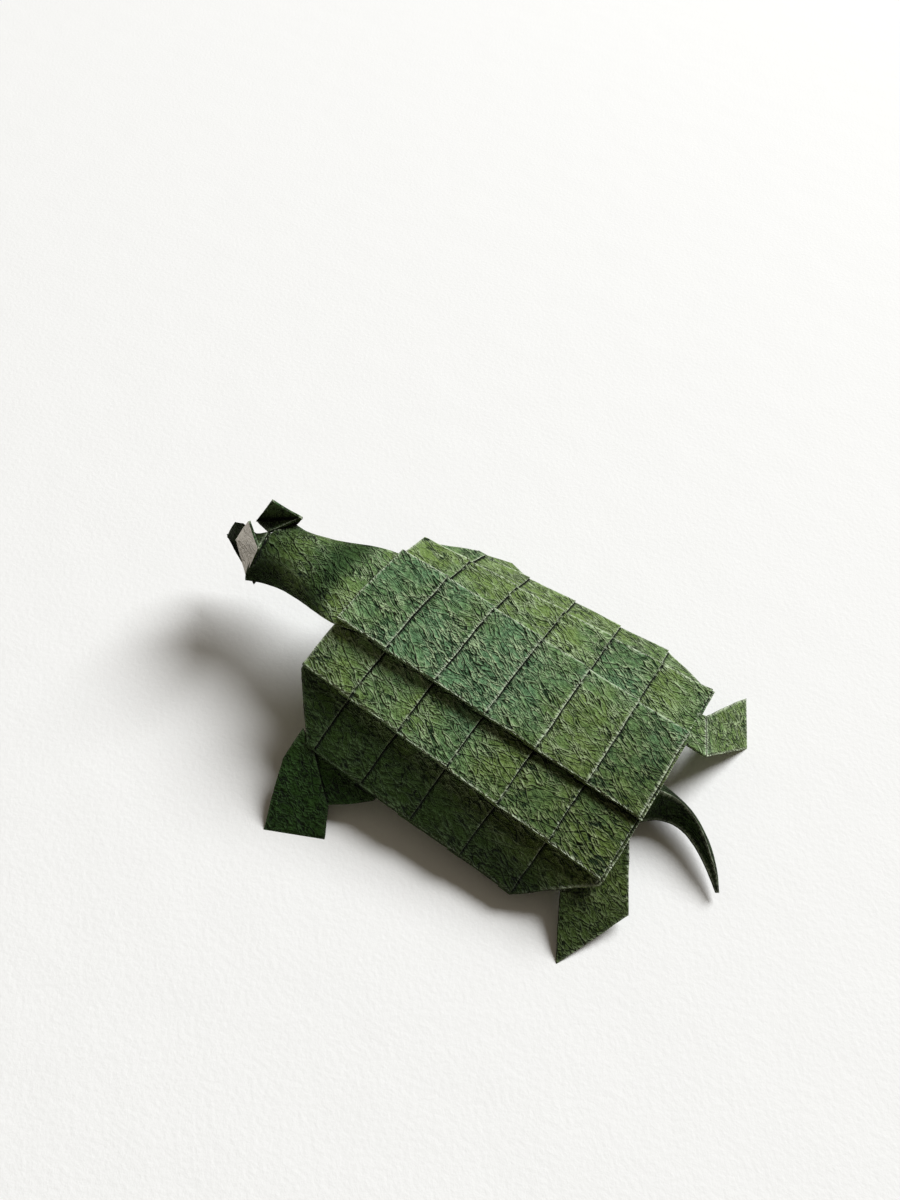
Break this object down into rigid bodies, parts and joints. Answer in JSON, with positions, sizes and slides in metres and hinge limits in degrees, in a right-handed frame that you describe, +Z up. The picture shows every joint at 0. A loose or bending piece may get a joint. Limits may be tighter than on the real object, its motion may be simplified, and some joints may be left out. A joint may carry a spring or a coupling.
{
  "type": "origami turtle",
  "caption": "Paper turtle folded from a single sheet: pleated shell of overlapping rows and bands, arched neck, squash-folded eyes, flap legs and a curled tail.",
  "frame": {"origin": "on the ground, under the middle of the outline box", "axes": "+Z up, head towards -Y, tail towards +Y, the turtle's left side towards +X"},
  "size_m": [0.0846, 0.1262, 0.0284],
  "materials": {
    "green_paper": "matte crumpled paper, mottled dark green with pale worn folds; the reverse side is off-white"
  },
  "bodies": {
    "root": {"folded_turtle": "green_paper"}
  },
  "joints": []
}
